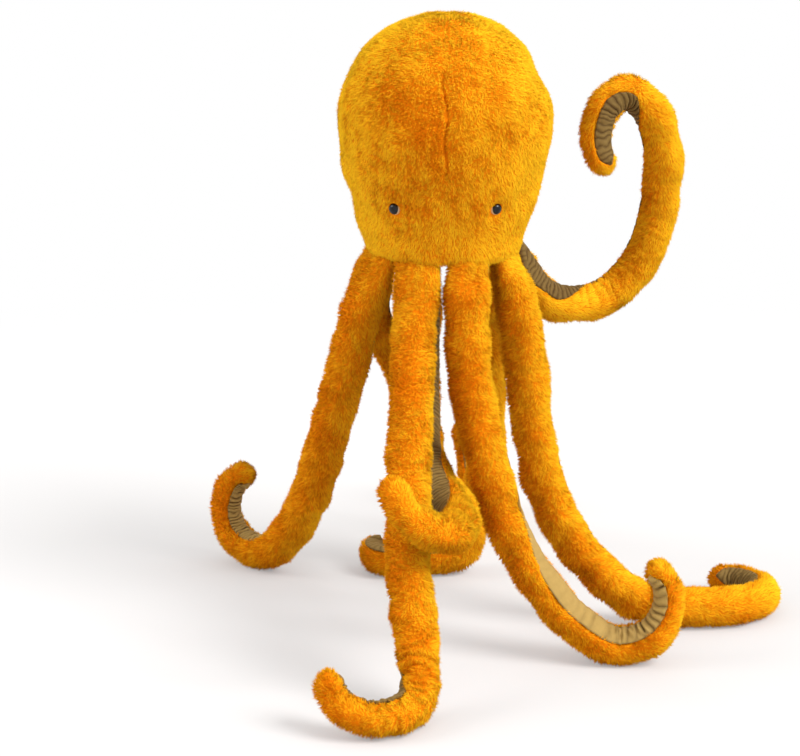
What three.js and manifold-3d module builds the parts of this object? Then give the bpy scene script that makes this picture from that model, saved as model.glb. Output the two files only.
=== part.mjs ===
// A stuffed plush octopus: a tall head of four fur panels over a ring of eight posable arms.
// Millimetres, +Z up. The face looks along -Y, and left and right are the viewer's.
// Each arm is a fur sleeve on stuffing, with a velvet strip on its inner side and a bending wire
// in its middle. It is made in two stretches, so that it can swing at its root and curl half way.

import * as THREE from 'three';
import { mergeVertices } from 'three/addons/utils/BufferGeometryUtils.js';
import Module from 'manifold-3d';

const wasm = await Module();
wasm.setup();

// Driving sizes of the head
const headRadius = 108.5;
const headHeight = 235;
const panelThickness = 7;
const seamGap = 0.3;
const clearance = 0.3;
const headSides = 16;
const baseThickness = 3;
const baseRadius = 44;

// Driving sizes of the arms
const armLength = 548;
const armRadius = 22;
const ballRadius = 19;
const neckRadius = 15;
const rootRingRadius = 68;
const rootBelowHead = 5;
const flareLength = 55;
const tipTaperLength = 210;
const tipRadius = 15;
const tipRoundLength = 17;
const footFlat = 0.5;
const wireRadius = 2.5;
const wireInset = 0.6;
const stripStep = 5;
const stripGap = 0.4;
const longestStep = 72;
const lipAllowance = 3;

// Driving sizes of the eyes
const eyeRadius = 6;
const eyeDomeHeight = 4.2;
const eyeSeat = 3.5;
const eyeStemRadius = 1.5;
const washerRadius = 6.5;
const washerThickness = 1.5;
const eyeHeight = 52;
const eyeSpacing = 100;
const eyePlay = 0.6;
const eyeBackHeight = 1.2;
const stemPastWasher = 2;

// How far a cutting solid runs past what it cuts
const overrun = 10;

// A ring narrower than this is drawn as a point
const pointRadius = 0.001;

// Counts and shares of the arm's section
const armSides = 12;
const stripHalfSides = 1.5;
const widestBend = 44;
const widestTwist = 32;
const curlRange = 40;
const restRadiusShare = 0.92;
const standingShare = 0.66;
const ballStep = 30;
const wireSides = 4;
const eyeSides = 12;
const stemSides = 8;
const eyeDomeSteps = 3;
const roundEndSteps = 3;
const settlingRounds = 3;

// The head's outline from its lower rim to its crown: height share, radius share
const headOutlineShares = [
  [0, 0.73], [0.08, 0.765], [0.17, 0.82], [0.26, 0.88], [0.36, 0.945], [0.47, 0.987],
  [0.57, 0.993], [0.67, 0.955], [0.77, 0.862], [0.86, 0.73], [0.93, 0.56], [0.98, 0.33], [1, 0],
];

// The middle line of each arm as shares of the arm's length: across and back from the arm's
// root, and up from where an arm lies when it rests on the floor. The facing is the side that
// the velvet looks to at the facing share, before the arm twists: the twist table has shares of
// the arm's length and of a full turn. Angles run from the front, to the right.
const arms = [
  {
    name: 'front_left_arm', angle: -22.5, jointShare: 0.56, facingShare: 0.85,
    stands: true,
    facing: [-0.4, 0.5, 0.8],
    twistShares: [[0.6, 0.33], [0.86, 0]],
    routeShares: [
      [0, 0, standingShare], [-0.006, -0.028, 0.58], [-0.012, -0.115, 0.435],
      [-0.018, -0.235, 0.285], [-0.013, -0.335, 0.145], [-0.001, -0.402, 0.055],
      [-0.008, -0.456, 0.005], [-0.046, -0.503, 0], [-0.095, -0.518, 0.005],
      [-0.138, -0.504, 0.03], [-0.158, -0.488, 0.078],
    ],
  },
  {
    name: 'front_right_arm', angle: 22.5, jointShare: 0.52, facingShare: 0.8,
    stands: true,
    facing: [0, 0, 1],
    twistShares: [[0.4, -0.105], [0.65, 0]],
    routeShares: [
      [0, 0, standingShare], [-0.008, -0.022, 0.58], [-0.002, -0.047, 0.47],
      [0.023, -0.085, 0.35], [0.067, -0.125, 0.215], [0.13, -0.153, 0.105],
      [0.205, -0.168, 0.03], [0.265, -0.173, 0.003], [0.318, -0.177, 0.02],
      [0.348, -0.179, 0.072], [0.344, -0.179, 0.125], [0.316, -0.179, 0.163],
    ],
  },
  {
    name: 'right_arm', angle: 67.5, jointShare: 0.52, facingShare: 0.85,
    stands: true,
    facing: [0, 1, 0.1],
    twistShares: [[0, 0], [0.45, 0.05], [0.65, 0.06], [0.8, 0.03]],
    routeShares: [
      [0, 0, standingShare], [0.018, -0.006, 0.575], [0.037, -0.013, 0.46],
      [0.051, -0.02, 0.34], [0.074, -0.028, 0.235], [0.118, -0.037, 0.14],
      [0.185, -0.046, 0.06], [0.265, -0.052, 0.008], [0.345, -0.05, 0],
      [0.424, -0.038, -0.001], [0.483, 0.004, -0.002], [0.49, 0.066, -0.004],
      [0.457, 0.115, -0.006], [0.4, 0.128, -0.008],
    ],
  },
  {
    name: 'raised_arm', angle: 112.5, jointShare: 0.5, facingShare: 0.5,
    stands: false,
    facing: [-1, 0, 0],
    twistShares: [
      [0.05, 0.22], [0.2, 0.12], [0.35, 0], [0.64, 0.03], [0.82, 0.27], [1, 0.28],
    ],
    routeShares: [
      [0, 0, standingShare], [0.033, 0.028, 0.6], [0.08, 0.068, 0.547],
      [0.14, 0.105, 0.525], [0.202, 0.13, 0.538], [0.254, 0.143, 0.583],
      [0.286, 0.143, 0.652], [0.299, 0.13, 0.735], [0.298, 0.107, 0.82],
      [0.272, 0.083, 0.895], [0.225, 0.06, 0.935], [0.183, 0.04, 0.915],
      [0.168, 0.025, 0.867], [0.175, 0.016, 0.822], [0.193, 0.012, 0.79],
    ],
  },
  {
    name: 'rear_right_arm', angle: 157.5, jointShare: 0.54, facingShare: 0.85,
    stands: true,
    facing: [0, -0.6, 0.8],
    twistShares: [[0, 0]],
    routeShares: [
      [0, 0, standingShare], [0.018, 0.03, 0.575], [0.034, 0.085, 0.435],
      [0.042, 0.165, 0.285], [0.046, 0.255, 0.145], [0.048, 0.325, 0.05],
      [0.046, 0.39, 0.003], [0.04, 0.445, 0.01], [0.03, 0.486, 0.05],
      [0.02, 0.49, 0.105], [0.012, 0.46, 0.145], [0.01, 0.42, 0.15],
    ],
  },
  {
    name: 'hooked_arm', angle: -157.5, jointShare: 0.76, facingShare: 0.85,
    stands: false,
    facing: [-1, 0, 0],
    twistShares: [[0.35, -0.31], [0.62, 0]],
    routeShares: [
      [0, 0, standingShare], [0.005, -0.016, 0.585], [0.006, -0.058, 0.49],
      [0.005, -0.108, 0.4], [0.006, -0.178, 0.33], [0.018, -0.275, 0.285],
      [0.047, -0.38, 0.258], [0.069, -0.485, 0.252], [0.044, -0.576, 0.266],
      [-0.004, -0.61, 0.297], [-0.038, -0.598, 0.334], [-0.045, -0.57, 0.366],
    ],
  },
  {
    name: 'rear_left_arm', angle: -112.5, jointShare: 0.42, facingShare: 0.75,
    stands: true,
    facing: [-1, 0, 0],
    twistShares: [[0.3, 0.42], [0.55, 0], [0.75, -0.1], [0.98, 0]],
    routeShares: [
      [0, 0, standingShare], [-0.018, 0.018, 0.575], [-0.012, 0.068, 0.497],
      [0.03, 0.122, 0.42], [0.053, 0.145, 0.34], [0.06, 0.155, 0.24], [0.092, 0.155, 0.165],
      [0.14, 0.155, 0.11], [0.168, 0.155, 0.055], [0.155, 0.155, 0.01],
      [0.11, 0.15, 0], [0.06, 0.14, -0.002], [0.02, 0.135, -0.003],
      [-0.012, 0.15, -0.003], [-0.02, 0.19, -0.003], [0, 0.225, -0.003],
    ],
  },
  {
    name: 'left_arm', angle: -67.5, jointShare: 0.52, facingShare: 0.85,
    stands: true,
    facing: [0.6, -0.4, 0.7],
    twistShares: [[0.45, 0.28], [0.8, 0]],
    routeShares: [
      [0, 0, standingShare], [-0.028, 0, 0.58], [-0.056, 0.014, 0.47],
      [-0.086, 0.055, 0.35], [-0.118, 0.12, 0.225], [-0.157, 0.19, 0.11],
      [-0.205, 0.245, 0.028], [-0.258, 0.29, 0.003], [-0.3, 0.322, 0.028],
      [-0.312, 0.335, 0.085], [-0.292, 0.332, 0.135], [-0.255, 0.318, 0.155],
    ],
  },
];

// Heights that follow from the sizes above
const restHeight = armRadius * restRadiusShare - footFlat;
const rootHeight = restHeight + armLength * standingShare;
const rimHeight = rootHeight + rootBelowHead;

// Materials
const furMaterial = () => new THREE.MeshStandardMaterial({
  color: 0xdd8d12, roughness: 0.95, metalness: 0,
});
const velvetMaterial = () => new THREE.MeshStandardMaterial({
  color: 0x9c7434, roughness: 0.8, metalness: 0,
});
const stuffingMaterial = () => new THREE.MeshStandardMaterial({
  color: 0xf1ede4, roughness: 1, metalness: 0,
});
const wireMaterial = () => new THREE.MeshStandardMaterial({
  color: 0xe8e8e6, roughness: 0.5, metalness: 0,
});
const glassMaterial = () => new THREE.MeshStandardMaterial({
  color: 0x1c1a1c, roughness: 0.08, metalness: 0,
});
const washerMaterial = () => new THREE.MeshStandardMaterial({
  color: 0xd8d8d4, roughness: 0.5, metalness: 0,
});

const octopus = new THREE.Group();

function addMesh(name, geometry, material) {
  geometry.computeVertexNormals();
  const mesh = new THREE.Mesh(geometry, material);
  mesh.name = name;
  octopus.add(mesh);
}

// Geometry to solid and back, for joins and cuts

function solidOf(geometry) {
  const bare = geometry.clone();
  bare.deleteAttribute('normal');
  bare.deleteAttribute('uv');
  const merged = mergeVertices(bare);
  return new wasm.Manifold(new wasm.Mesh({
    numProp: 3,
    vertProperties: new Float32Array(merged.attributes.position.array),
    triVerts: new Uint32Array(merged.index.array),
  }));
}

function geometryOf(solid) {
  const mesh = solid.getMesh();
  const geometry = new THREE.BufferGeometry();
  geometry.setAttribute('position', new THREE.BufferAttribute(mesh.vertProperties, 3));
  geometry.setIndex(new THREE.BufferAttribute(mesh.triVerts, 1));
  return geometry;
}

// A closed skin over a row of rings. A ring of one point is a pole; the rings run so that
// each one turns right-handed about the way to the next. Each square is halved from its first
// corner, or from its second where the skin lies on one whose rings run the other way.
function skin(rings, fromSecond = false) {
  const positions = [];
  const starts = [];
  for (const ring of rings) {
    starts.push(positions.length / 3);
    for (const point of ring) {
      positions.push(point.x, point.y, point.z);
    }
  }
  const indices = [];
  for (let row = 0; row + 1 < rings.length; row += 1) {
    const here = rings[row].length;
    const next = rings[row + 1].length;
    const sides = Math.max(here, next);
    for (let k = 0; k < sides; k += 1) {
      const a = starts[row] + (here === 1 ? 0 : k);
      const b = starts[row] + (here === 1 ? 0 : (k + 1) % sides);
      const c = starts[row + 1] + (next === 1 ? 0 : (k + 1) % sides);
      const d = starts[row + 1] + (next === 1 ? 0 : k);
      if (fromSecond) {
        indices.push(a, b, d, b, c, d);
      } else {
        indices.push(...(a === b ? [] : [a, b, c]), ...(c === d ? [] : [a, c, d]));
      }
    }
  }
  const capStart = rings[0];
  const capEnd = rings[rings.length - 1];
  for (let k = 1; k + 1 < capStart.length; k += 1) {
    indices.push(starts[0], starts[0] + k + 1, starts[0] + k);
  }
  for (let k = 1; k + 1 < capEnd.length; k += 1) {
    const last = starts[rings.length - 1];
    indices.push(last, last + k, last + k + 1);
  }
  const geometry = new THREE.BufferGeometry();
  geometry.setAttribute('position', new THREE.Float32BufferAttribute(positions, 3));
  geometry.setIndex(indices);
  return geometry;
}

// A twist table's share of a full turn at a share of the arm's length
function twistAt(twistShares, share) {
  const next = twistShares.findIndex(([place]) => place > share);
  if (next <= 0) {
    return twistShares[next === 0 ? 0 : twistShares.length - 1][1];
  }
  const [from, low] = twistShares[next - 1];
  const [to, high] = twistShares[next];
  return THREE.MathUtils.lerp(low, high, THREE.MathUtils.smoothstep(share, from, to));
}

// The arm's path, with the way that its velvet looks carried along it and then twisted. It is let
// down by the drop where it lies on the floor, and by less and less towards its root.

const pathSteps = 600;

function armPath(arm, drop) {
  const turn = THREE.MathUtils.degToRad(arm.angle);
  const root = new THREE.Vector3(Math.sin(turn), -Math.cos(turn), 0)
    .multiplyScalar(rootRingRadius);
  const points = arm.routeShares.map(([across, back, up]) => new THREE.Vector3(
    root.x + across * armLength,
    root.y + back * armLength,
    restHeight + up * armLength - drop * (1 - up / standingShare),
  ));
  const curve = new THREE.CatmullRomCurve3(points, false, 'centripetal');
  curve.arcLengthDivisions = pathSteps * 2;
  const length = curve.getLength();
  const centers = [];
  const tangents = [];
  for (let i = 0; i <= pathSteps; i += 1) {
    centers.push(curve.getPointAt(i / pathSteps));
    tangents.push(curve.getTangentAt(i / pathSteps));
  }
  const facings = new Array(pathSteps + 1);
  const start = Math.round(arm.facingShare * pathSteps);
  const square = (vector, tangent) => vector.clone()
    .addScaledVector(tangent, -vector.dot(tangent)).normalize();
  facings[start] = square(new THREE.Vector3(...arm.facing), tangents[start]);
  for (let i = start + 1; i <= pathSteps; i += 1) {
    facings[i] = square(facings[i - 1], tangents[i]);
  }
  for (let i = start - 1; i >= 0; i -= 1) {
    facings[i] = square(facings[i + 1], tangents[i]);
  }
  const twists = tangents.map((_, i) => 360 * twistAt(arm.twistShares, i / pathSteps));
  facings.forEach((facing, i) => {
    facing.applyAxisAngle(tangents[i], THREE.MathUtils.degToRad(twists[i]));
  });
  const frameAt = (station) => {
    const i = Math.round(THREE.MathUtils.clamp(station / length, 0, 1) * pathSteps);
    return {
      center: centers[i].clone(),
      tangent: tangents[i],
      facing: facings[i],
      side: new THREE.Vector3().crossVectors(tangents[i], facings[i]),
    };
  };
  return { length, tangents, twists, frameAt, jointStation: arm.jointShare * length };
}

// Stations from one end of a stretch to the other, closer together where the arm bends or twists
function ringStations(path, from, to) {
  const first = Math.round((from / path.length) * pathSteps);
  const last = Math.round((to / path.length) * pathSteps);
  const costs = [0];
  const stepLength = path.length / pathSteps;
  for (let i = first + 1; i <= last; i += 1) {
    const bend = path.tangents[i].angleTo(path.tangents[i - 1]);
    const twist = Math.abs(path.twists[i] - path.twists[i - 1]);
    const turning = THREE.MathUtils.radToDeg(bend) / widestBend + twist / widestTwist;
    costs.push(costs[costs.length - 1] + stepLength / longestStep + turning);
  }
  const total = costs[costs.length - 1];
  const count = Math.ceil(total);
  const stations = [];
  for (let n = 0; n <= count; n += 1) {
    const wanted = (total * n) / count;
    let i = 0;
    while (i + 1 < costs.length && costs[i] < wanted - Number.EPSILON) {
      i += 1;
    }
    stations.push((first + i) * stepLength);
  }
  return stations;
}

// The sleeve swells from its neck, keeps its width and narrows to the tip
function sleeveRadius(path, station) {
  const flare = THREE.MathUtils.smoothstep(station, 0, flareLength);
  const root = THREE.MathUtils.lerp(neckRadius, armRadius, flare);
  const left = path.length - station;
  const taper = Math.min(left / tipTaperLength, 1);
  const bulge = Math.sin((taper * Math.PI) / 2);
  return Math.min(root, THREE.MathUtils.lerp(tipRadius, armRadius, bulge));
}

// A ring of points round the path: the polar angles run from the side that the velvet looks to
function ringAt(frame, shift, radii) {
  const center = frame.center.clone().addScaledVector(frame.tangent, shift);
  return radii.map((radius, k) => {
    const angle = ((k + 0.5) / radii.length) * Math.PI * 2;
    return center.clone()
      .addScaledVector(frame.facing, radius * Math.cos(angle))
      .addScaledVector(frame.side, radius * Math.sin(angle));
  });
}

const roundRadii = (radius, sides = armSides) => new Array(sides).fill(radius);

const stripHalfAngle = (stripHalfSides * Math.PI * 2) / armSides;

// The round section with a flat for the velvet strip
function seatRadii(radius) {
  const flat = radius * Math.cos(stripHalfAngle);
  return roundRadii(radius).map((value, k) => {
    const angle = ((k + 0.5) / armSides) * Math.PI * 2;
    return Math.min(value, flat / Math.max(Math.cos(angle), flat / value));
  });
}

// Rings of a ball between two polar angles from the tangent, in even steps
function ballRings(frame, radius, fromAngle, toAngle) {
  const count = Math.max(1, Math.round(Math.abs(toAngle - fromAngle) / ballStep));
  const profile = [];
  for (let n = 0; n <= count; n += 1) {
    const angle = THREE.MathUtils.degToRad(THREE.MathUtils.lerp(fromAngle, toAngle, n / count));
    profile.push([radius * Math.sin(angle), radius * Math.cos(angle)]);
  }
  return turnedRings(frame, profile, armSides);
}

// Rings of a profile of radius and height pairs, turned about a frame's tangent
function turnedRings(frame, profile, sides) {
  return profile.map(([radius, height]) => {
    if (radius < pointRadius) {
      return [frame.center.clone().addScaledVector(frame.tangent, height)];
    }
    return ringAt(frame, height, roundRadii(radius, sides));
  });
}

// The same frame, turned about its tangent
function twisted(frame, angle) {
  return {
    ...frame,
    facing: frame.facing.clone().applyAxisAngle(frame.tangent, angle),
    side: frame.side.clone().applyAxisAngle(frame.tangent, angle),
  };
}

// A flat socket facet has to stay outside the ball that turns in it
const facetShare = Math.cos(Math.PI / armSides) * Math.cos(THREE.MathUtils.degToRad(ballStep / 2));
const socketRadius = (radius) => (radius + clearance / 2) / facetShare;

// The velvet strip fills the sleeve's flat: two points on the round, four on the flat, which
// stand over the flat's own so that both bend alike where the arm twists
function stripRing(frame, shift, radius) {
  const center = frame.center.clone().addScaledVector(frame.tangent, shift);
  const flat = radius * Math.cos(stripHalfAngle) + stripGap;
  const half = radius * Math.sin(stripHalfAngle) - clearance;
  const inner = radius * Math.cos(stripHalfAngle) * Math.tan(Math.PI / armSides);
  const corners = [
    [flat, half], [flat, inner], [flat, -inner], [flat, -half],
    [radius, -half / 2], [radius, half / 2],
  ];
  return corners.map(([out, across]) => center.clone()
    .addScaledVector(frame.facing, out)
    .addScaledVector(frame.side, across));
}

// What lies below the floor is pressed flat
function standing(solid) {
  const wide = armLength * 4;
  const ground = new THREE.BoxGeometry(wide, wide, wide);
  ground.translate(0, 0, -wide / 2);
  return solid.subtract(solidOf(ground));
}

// How far the sleeve starts along its arm, and where its dome starts
const neckRise = Math.sqrt(ballRadius ** 2 - neckRadius ** 2);
const sleeveStart = neckRise + stripStep;
const roundStart = (path) => path.length - tipRoundLength;
const curlShare = Math.tan(THREE.MathUtils.degToRad(curlRange / 2));

// The stations and the rings of both stretches of a sleeve
function sleeveRings(path) {
  const root = path.frameAt(0);
  const joint = path.frameAt(path.jointStation);
  const jointRadius = sleeveRadius(path, path.jointStation);
  const lip = jointRadius * curlShare + lipAllowance;
  const lipStation = path.jointStation + lip;
  const ringOn = (station) => ringAt(
    path.frameAt(station),
    0,
    roundRadii(sleeveRadius(path, station)),
  );
  const seatOn = (station) => ringAt(
    path.frameAt(station),
    0,
    seatRadii(sleeveRadius(path, station)),
  );

  // Where the sleeve has its flat and the strip lies on it
  const upperSeats = ringStations(path, sleeveStart + stripStep, path.jointStation - stripStep);
  const tipSeats = ringStations(path, lipStation + stripStep, roundStart(path) - stripStep);

  // The upper stretch starts in a ball under the head and ends in a ball inside the tip stretch
  const neckAngle = THREE.MathUtils.radToDeg(Math.asin(neckRadius / ballRadius));
  const upper = [
    ...ballRings(root, ballRadius, 180, neckAngle),
    ringOn(sleeveStart),
    ...upperSeats.map(seatOn),
    ...ballRings(joint, jointRadius, 90, 0),
  ];

  // The tip stretch starts in a socket round that ball and ends in an oval dome
  const socket = socketRadius(jointRadius);
  const lipAngle = THREE.MathUtils.radToDeg(Math.acos(lip / socket));
  const tip = [
    ...ballRings(twisted(joint, Math.PI / armSides), socket, 0, lipAngle),
    ringAt(joint, lip, roundRadii(sleeveRadius(path, lipStation))),
    ...tipSeats.map(seatOn),
    ...roundEnd(path, roundStart(path)),
  ];
  return { root, joint, jointRadius, socket, upperSeats, tipSeats, upper, tip };
}

// An arm that stands is let down until its lowest point is pressed flat by the floor
function settledPath(arm) {
  let drop = 0;
  for (let round = 0; round < settlingRounds && arm.stands; round += 1) {
    const { upper, tip } = sleeveRings(armPath(arm, drop));
    const lowest = Math.min(...[...upper, ...tip].flat().map((point) => point.z));
    drop += lowest + footFlat;
  }
  return armPath(arm, drop);
}

function addArm(arm) {
  const path = settledPath(arm);
  const { root, joint, jointRadius, socket, upperSeats, tipSeats, upper, tip } = sleeveRings(path);

  // The bending wire and the bore that it lies in run through the same stations
  const wireRow = (stations, radius) => stations.map((station) => ringAt(
    path.frameAt(station),
    0,
    roundRadii(radius, wireSides),
  ));
  const wireEnd = (frame, shift, radius) => ringAt(frame, shift, roundRadii(radius, wireSides));
  const boreRadius = wireRadius + clearance;
  const upperStart = wireInset - ballRadius;
  const upperEnd = jointRadius - wireInset;
  const tipWireStart = socket + wireInset;
  const tipRow = ringStations(
    path,
    path.jointStation + tipWireStart + stripStep,
    roundStart(path) - stripStep,
  );
  const upperThread = (radius) => [
    wireEnd(root, upperStart, radius),
    ...wireRow(upperSeats, radius),
    wireEnd(joint, upperEnd, radius),
  ];
  const tipThread = (radius, lastShift) => [
    wireEnd(joint, tipWireStart, radius),
    ...wireRow(tipRow, radius),
    wireEnd(path.frameAt(roundStart(path)), lastShift, radius),
  ];
  const upperBore = [
    wireEnd(root, upperStart - overrun, boreRadius),
    ...upperThread(boreRadius),
    wireEnd(joint, upperEnd + overrun, boreRadius),
  ];
  const tipBore = [wireEnd(joint, 0, boreRadius), ...tipThread(boreRadius, 0)];

  const furOf = (rings, bore) => geometryOf(
    standing(solidOf(skin(rings)).subtract(solidOf(skin(bore)))),
  );
  const velvetOf = (stations) => skin(stations.map((station, n) => {
    const drawnIn = n === stations.length - 1 ? -clearance : 0;
    const shift = n === 0 ? clearance : drawnIn;
    return stripRing(path.frameAt(station), shift, sleeveRadius(path, station));
  }), true);

  addMesh(`${arm.name}_upper_fur`, furOf(upper, upperBore), furMaterial());
  addMesh(`${arm.name}_upper_velvet`, velvetOf(upperSeats), velvetMaterial());
  addMesh(`${arm.name}_upper_wire`, skin(upperThread(wireRadius)), wireMaterial());
  addMesh(`${arm.name}_tip_fur`, furOf(tip, tipBore), furMaterial());
  addMesh(`${arm.name}_tip_velvet`, velvetOf(tipSeats), velvetMaterial());
  addMesh(`${arm.name}_tip_wire`, skin(tipThread(wireRadius, -clearance)), wireMaterial());
}

// The arm's end: an oval dome
function roundEnd(path, station) {
  const frame = path.frameAt(station);
  const width = sleeveRadius(path, station);
  const profile = [];
  for (let n = roundEndSteps; n >= 0; n -= 1) {
    const turn = (n / roundEndSteps) * (Math.PI / 2);
    profile.push([width * Math.sin(turn), tipRoundLength * Math.cos(turn)]);
  }
  return turnedRings(frame, profile, armSides);
}

// The head: four panels round the stuffing, a pit under it for each arm's ball

const upright = {
  center: new THREE.Vector3(),
  tangent: new THREE.Vector3(0, 0, 1),
  facing: new THREE.Vector3(0, -1, 0),
  side: new THREE.Vector3(1, 0, 0),
};

// The head's outline drawn in by a distance, square to the outline
function headProfile(distance) {
  const points = headOutlineShares.map(([heightShare, radiusShare]) => new THREE.Vector2(
    headRadius * radiusShare,
    rimHeight + headHeight * heightShare,
  ));
  const last = points.length - 1;
  return points.map((point, n) => {
    if (n === 0) {
      return [point.x - distance, point.y];
    }
    if (n === last) {
      return [0, point.y - distance];
    }
    const along = points[n + 1].clone().sub(points[n - 1]).normalize();
    return [point.x - along.y * distance, point.y + along.x * distance];
  });
}

// A profile's radius at a height, and how far it leans outwards there
function radiusAt(profile, height) {
  const above = profile.findIndex(([, z]) => z > height);
  const [lowRadius, lowZ] = profile[above - 1];
  const [highRadius, highZ] = profile[above];
  const share = (height - lowZ) / (highZ - lowZ);
  return {
    radius: THREE.MathUtils.lerp(lowRadius, highRadius, share),
    slope: Math.atan2(highRadius - lowRadius, highZ - lowZ),
  };
}

function headSolid(distance, start) {
  const profile = [...start, ...headProfile(distance).slice(1)];
  return solidOf(skin(turnedRings(upright, profile, headSides)));
}

// Between the arms' balls the stuffing reaches down to the base panel
function stuffingSolid() {
  const inset = panelThickness + clearance;
  const overBalls = rootHeight + ballRadius + clearance;
  const width = radiusAt(headProfile(inset), overBalls).radius;
  return headSolid(inset, [
    [0, rimHeight], [baseRadius, rimHeight], [baseRadius, overBalls], [width, overBalls],
  ]);
}

function cutPits(solid) {
  return arms.reduce((rest, arm) => {
    const pit = { ...upright, center: armPath(arm, 0).frameAt(0).center };
    return rest.subtract(solidOf(skin(ballRings(pit, socketRadius(ballRadius), 180, 0))));
  }, solid);
}

// Where an eye stands: on the panels' surface, looking along its normal
function eyeFrame(sign) {
  const height = rimHeight + eyeHeight;
  const outline = radiusAt(headProfile(0), height);
  const radius = outline.radius * Math.cos(Math.PI / headSides);
  const turn = Math.asin(eyeSpacing / 2 / radius) * sign;
  const tilt = outline.slope;
  const out = new THREE.Vector3(Math.sin(turn), -Math.cos(turn), 0);
  const tangent = out.clone().multiplyScalar(Math.cos(tilt));
  tangent.z = -Math.sin(tilt);
  const side = new THREE.Vector3().crossVectors(upright.tangent, out);
  return {
    center: out.clone().multiplyScalar(radius).setZ(height),
    tangent,
    facing: side,
    side: new THREE.Vector3().crossVectors(tangent, side),
  };
}

function rod(frame, radius, from, to, sides) {
  const profile = [[0, from], [radius, from], [radius, to], [0, to]];
  return solidOf(skin(turnedRings(frame, profile, sides)));
}

const washerFront = -panelThickness - eyePlay;
const washerBack = washerFront - washerThickness;
const stemEnd = washerBack - stemPastWasher;
const eyeBack = clearance - eyeSeat;

// A glass eye on a stem that passes through its panel, held by a washer behind it
function addEye(name, frame) {
  const profile = [
    [0, stemEnd], [eyeStemRadius, stemEnd], [eyeStemRadius, eyeBack], [eyeRadius, eyeBack],
  ];
  for (let n = 0; n <= eyeDomeSteps; n += 1) {
    const turn = (n / eyeDomeSteps) * (Math.PI / 2);
    profile.push([
      eyeRadius * Math.cos(turn),
      eyeBack + eyeBackHeight + eyeDomeHeight * Math.sin(turn),
    ]);
  }
  addMesh(name, skin(turnedRings(frame, profile, eyeSides)), glassMaterial());
  const hole = rod(frame, eyeStemRadius + clearance, stemEnd, 0, stemSides);
  const disc = rod(frame, washerRadius, washerBack, washerFront, eyeSides);
  addMesh(`${name}_washer`, geometryOf(disc.subtract(hole)), washerMaterial());
}

function addHead() {
  const leftEye = eyeFrame(-1);
  const rightEye = eyeFrame(1);
  const outside = headProfile(0)[0][0];
  const inside = headProfile(panelThickness)[0][0];
  const below = rimHeight - overrun;
  let shell = headSolid(0, [[0, rimHeight], [outside, rimHeight]])
    .subtract(headSolid(panelThickness, [[0, below], [inside, below], [inside, rimHeight]]));
  let stuffing = stuffingSolid();
  for (const eye of [leftEye, rightEye]) {
    const wide = eyeRadius + clearance;
    const pocket = washerRadius + clearance;
    shell = shell
      .subtract(rod(eye, wide, -eyeSeat, overrun, eyeSides))
      .subtract(rod(eye, eyeStemRadius + clearance, -panelThickness - overrun, 0, stemSides));
    stuffing = stuffing.subtract(rod(eye, pocket, stemEnd - clearance, 0, eyeSides));
  }
  shell = cutPits(shell);
  const reach = headRadius + overrun;
  const tall = (rimHeight + headHeight) * 2;
  const quarters = [
    ['head_front_left_panel', -1, -1],
    ['head_front_right_panel', 1, -1],
    ['head_rear_left_panel', -1, 1],
    ['head_rear_right_panel', 1, 1],
  ];
  for (const [name, across, back] of quarters) {
    const quarter = new THREE.BoxGeometry(reach, reach, tall);
    quarter.translate(
      across * (reach + seamGap) / 2,
      back * (reach + seamGap) / 2,
      0,
    );
    addMesh(name, geometryOf(shell.intersect(solidOf(quarter))), furMaterial());
  }
  addMesh('head_stuffing', geometryOf(stuffing), stuffingMaterial());
  const baseTop = rimHeight - clearance;
  const base = rod(upright, baseRadius, baseTop - baseThickness, baseTop, headSides);
  addMesh('base_panel', geometryOf(base), velvetMaterial());
  addEye('left_eye', leftEye);
  addEye('right_eye', rightEye);
}

addHead();
for (const arm of arms) {
  addArm(arm);
}

// The whole toy stands with the middle of its box over the origin
const middle = new THREE.Box3().setFromObject(octopus).getCenter(new THREE.Vector3());
octopus.position.set(-middle.x, -middle.y, 0);

export default octopus;
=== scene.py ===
"""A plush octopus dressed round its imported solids.

The head's four panels and the eight arms get a pile of real strands on sewn skins, the arms get
gathered velvet strips, and the head gets glass eyes. Lengths are millimetres until a mesh is made.
"""

import math

import bpy
import numpy as np
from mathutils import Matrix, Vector


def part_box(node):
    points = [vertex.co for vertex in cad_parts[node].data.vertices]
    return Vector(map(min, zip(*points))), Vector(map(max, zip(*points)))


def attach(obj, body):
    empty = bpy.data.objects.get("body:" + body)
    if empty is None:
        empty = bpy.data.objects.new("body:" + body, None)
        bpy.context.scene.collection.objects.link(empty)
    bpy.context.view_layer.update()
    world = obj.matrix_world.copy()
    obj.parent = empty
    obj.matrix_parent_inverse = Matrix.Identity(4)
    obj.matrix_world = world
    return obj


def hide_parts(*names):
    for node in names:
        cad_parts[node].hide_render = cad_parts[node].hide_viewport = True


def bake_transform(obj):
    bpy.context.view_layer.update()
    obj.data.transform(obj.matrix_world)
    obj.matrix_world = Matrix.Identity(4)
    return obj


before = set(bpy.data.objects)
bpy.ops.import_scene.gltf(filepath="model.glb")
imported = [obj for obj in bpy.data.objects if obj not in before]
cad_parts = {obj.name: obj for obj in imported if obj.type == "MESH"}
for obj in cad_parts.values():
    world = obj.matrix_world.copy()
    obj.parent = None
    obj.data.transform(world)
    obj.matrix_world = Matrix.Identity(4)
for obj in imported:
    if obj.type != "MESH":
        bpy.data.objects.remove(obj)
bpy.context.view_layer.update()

MM = 0.001

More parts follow.
